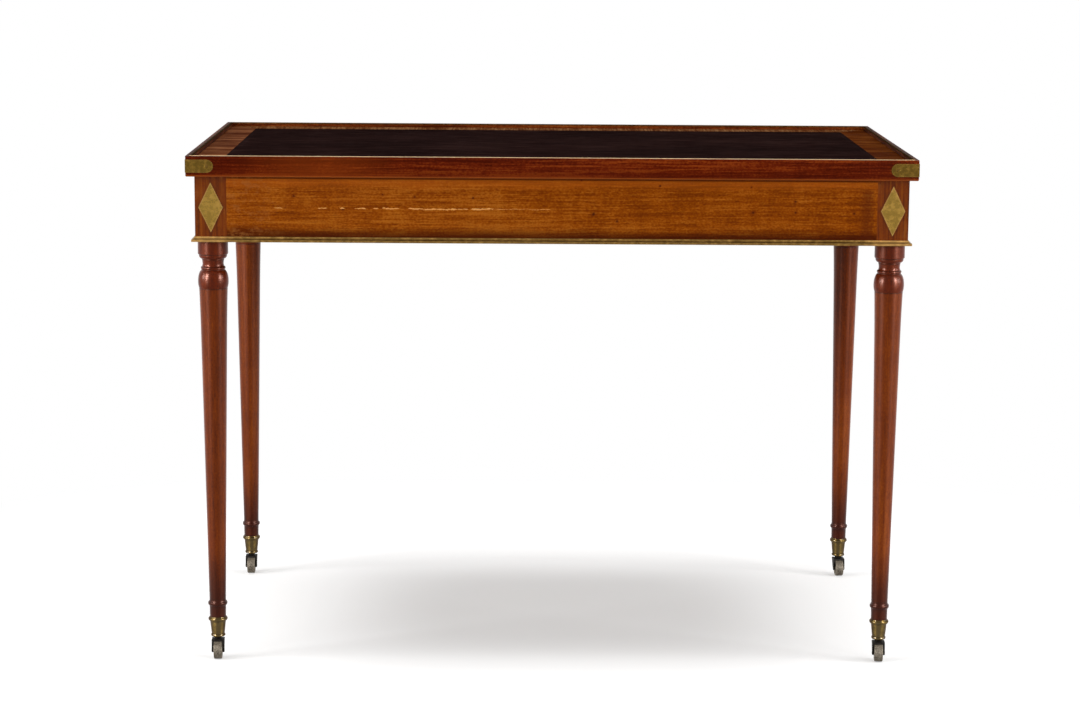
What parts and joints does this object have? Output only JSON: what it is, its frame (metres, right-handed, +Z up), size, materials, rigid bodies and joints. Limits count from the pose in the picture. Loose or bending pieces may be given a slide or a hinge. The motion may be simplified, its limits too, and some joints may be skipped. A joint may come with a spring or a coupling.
{
  "type": "tric-trac table",
  "caption": "Mahogany games table on turned legs with brass-capped feet and casters; a loose leather-lined top lifts off a deep tric-trac well.",
  "frame": {"origin": "on the floor under the middle of the table", "axes": "+Z up, +X along the long side to the sitter's right, -Y towards the front"},
  "size_m": [1.0612, 0.5862, 0.7563],
  "materials": {
    "frieze_wood": "satin",
    "leg_wood": "polished",
    "rim_wood": "satin",
    "border_wood": "satin",
    "carcase_wood": "matte",
    "well_wood": "satin",
    "field_wood": "satin",
    "core_wood": "matte",
    "brass_bright": "satin",
    "brass_plate": "satin",
    "brass_dull": "satin",
    "brass_cap": "satin",
    "caster_iron": "matte",
    "axle_steel": "satin",
    "wheel_brass": "matte",
    "black_leather": "satin",
    "green_baize": "matte",
    "bone": "satin",
    "green_points": "satin"
  },
  "bodies": {
    "case": {"case_front": "frieze_wood", "case_right": "frieze_wood", "case_back": "frieze_wood", "case_left": "frieze_wood", "leg_front_left": "leg_wood", "leg_front_right": "leg_wood", "leg_back_right": "leg_wood", "leg_back_left": "leg_wood", "rim_rail_front": "rim_wood", "rim_rail_right": "rim_wood", "rim_rail_back": "rim_wood", "rim_rail_left": "rim_wood", "rim_fillet_front": "brass_bright", "rim_fillet_right": "brass_bright", "rim_fillet_back": "brass_bright", "rim_fillet_left": "brass_bright", "moulding_front": "brass_dull", "moulding_right": "brass_dull", "moulding_back": "brass_dull", "moulding_left": "brass_dull", "strap_front_left": "brass_plate", "strap_front_right": "brass_plate", "strap_back_right": "brass_plate", "strap_back_left": "brass_plate", "strap_screws": "brass_plate", "lozenge_plates": "brass_plate", "case_bottom": "carcase_wood", "playing_field": "field_wood", "points_bone": "bone", "points_green": "green_points", "centre_bar": "well_wood", "peg_band_front": "well_wood", "peg_band_back": "well_wood", "peg_eyelets": "bone", "divider_left": "well_wood", "divider_right": "well_wood", "cap_front_left": "brass_cap", "cap_front_right": "brass_cap", "cap_back_right": "brass_cap", "cap_back_left": "brass_cap"},
    "loose_top": {"top_core": "core_wood", "top_border_front": "border_wood", "top_border_right": "border_wood", "top_border_back": "border_wood", "top_border_left": "border_wood", "top_leather": "black_leather", "top_baize": "green_baize"},
    "caster_front_left": {"fork_front_left": "caster_iron", "axle_front_left": "axle_steel"},
    "roller_front_left": {"wheel_front_left": "wheel_brass"},
    "caster_front_right": {"fork_front_right": "caster_iron", "axle_front_right": "axle_steel"},
    "roller_front_right": {"wheel_front_right": "wheel_brass"},
    "caster_back_right": {"fork_back_right": "caster_iron", "axle_back_right": "axle_steel"},
    "roller_back_right": {"wheel_back_right": "wheel_brass"},
    "caster_back_left": {"fork_back_left": "caster_iron", "axle_back_left": "axle_steel"},
    "roller_back_left": {"wheel_back_left": "wheel_brass"}
  },
  "joints": [
    {"name": "top_lift", "type": "slide", "parent": "case", "child": "loose_top", "axis": [0, 0, 1], "range_m": [0, 0.3]},
    {"name": "swivel_front_left", "type": "hinge", "parent": "case", "child": "caster_front_left", "pos_m": [-0.4955, -0.258, 0.0328], "axis": [0, 0, 1], "continuous": true},
    {"name": "roll_front_left", "type": "hinge", "parent": "caster_front_left", "child": "roller_front_left", "pos_m": [-0.49503, -0.26699, 0.013], "axis": [0.9986, 0.0523, 0], "continuous": true},
    {"name": "swivel_front_right", "type": "hinge", "parent": "case", "child": "caster_front_right", "pos_m": [0.4955, -0.258, 0.0328], "axis": [0, 0, 1], "continuous": true},
    {"name": "roll_front_right", "type": "hinge", "parent": "caster_front_right", "child": "roller_front_right", "pos_m": [0.49487, -0.26698, 0.013], "axis": [0.9976, -0.0698, 0], "continuous": true},
    {"name": "swivel_back_right", "type": "hinge", "parent": "case", "child": "caster_back_right", "pos_m": [0.4955, 0.258, 0.0328], "axis": [0, 0, 1], "continuous": true},
    {"name": "roll_back_right", "type": "hinge", "parent": "caster_back_right", "child": "roller_back_right", "pos_m": [0.49613, 0.24902, 0.013], "axis": [0.9976, 0.0698, 0], "continuous": true},
    {"name": "swivel_back_left", "type": "hinge", "parent": "case", "child": "caster_back_left", "pos_m": [-0.4955, 0.258, 0.0328], "axis": [0, 0, 1], "continuous": true},
    {"name": "roll_back_left", "type": "hinge", "parent": "caster_back_left", "child": "roller_back_left", "pos_m": [-0.49534, 0.249, 0.013], "axis": [0.9998, 0.0175, 0], "continuous": true}
  ]
}
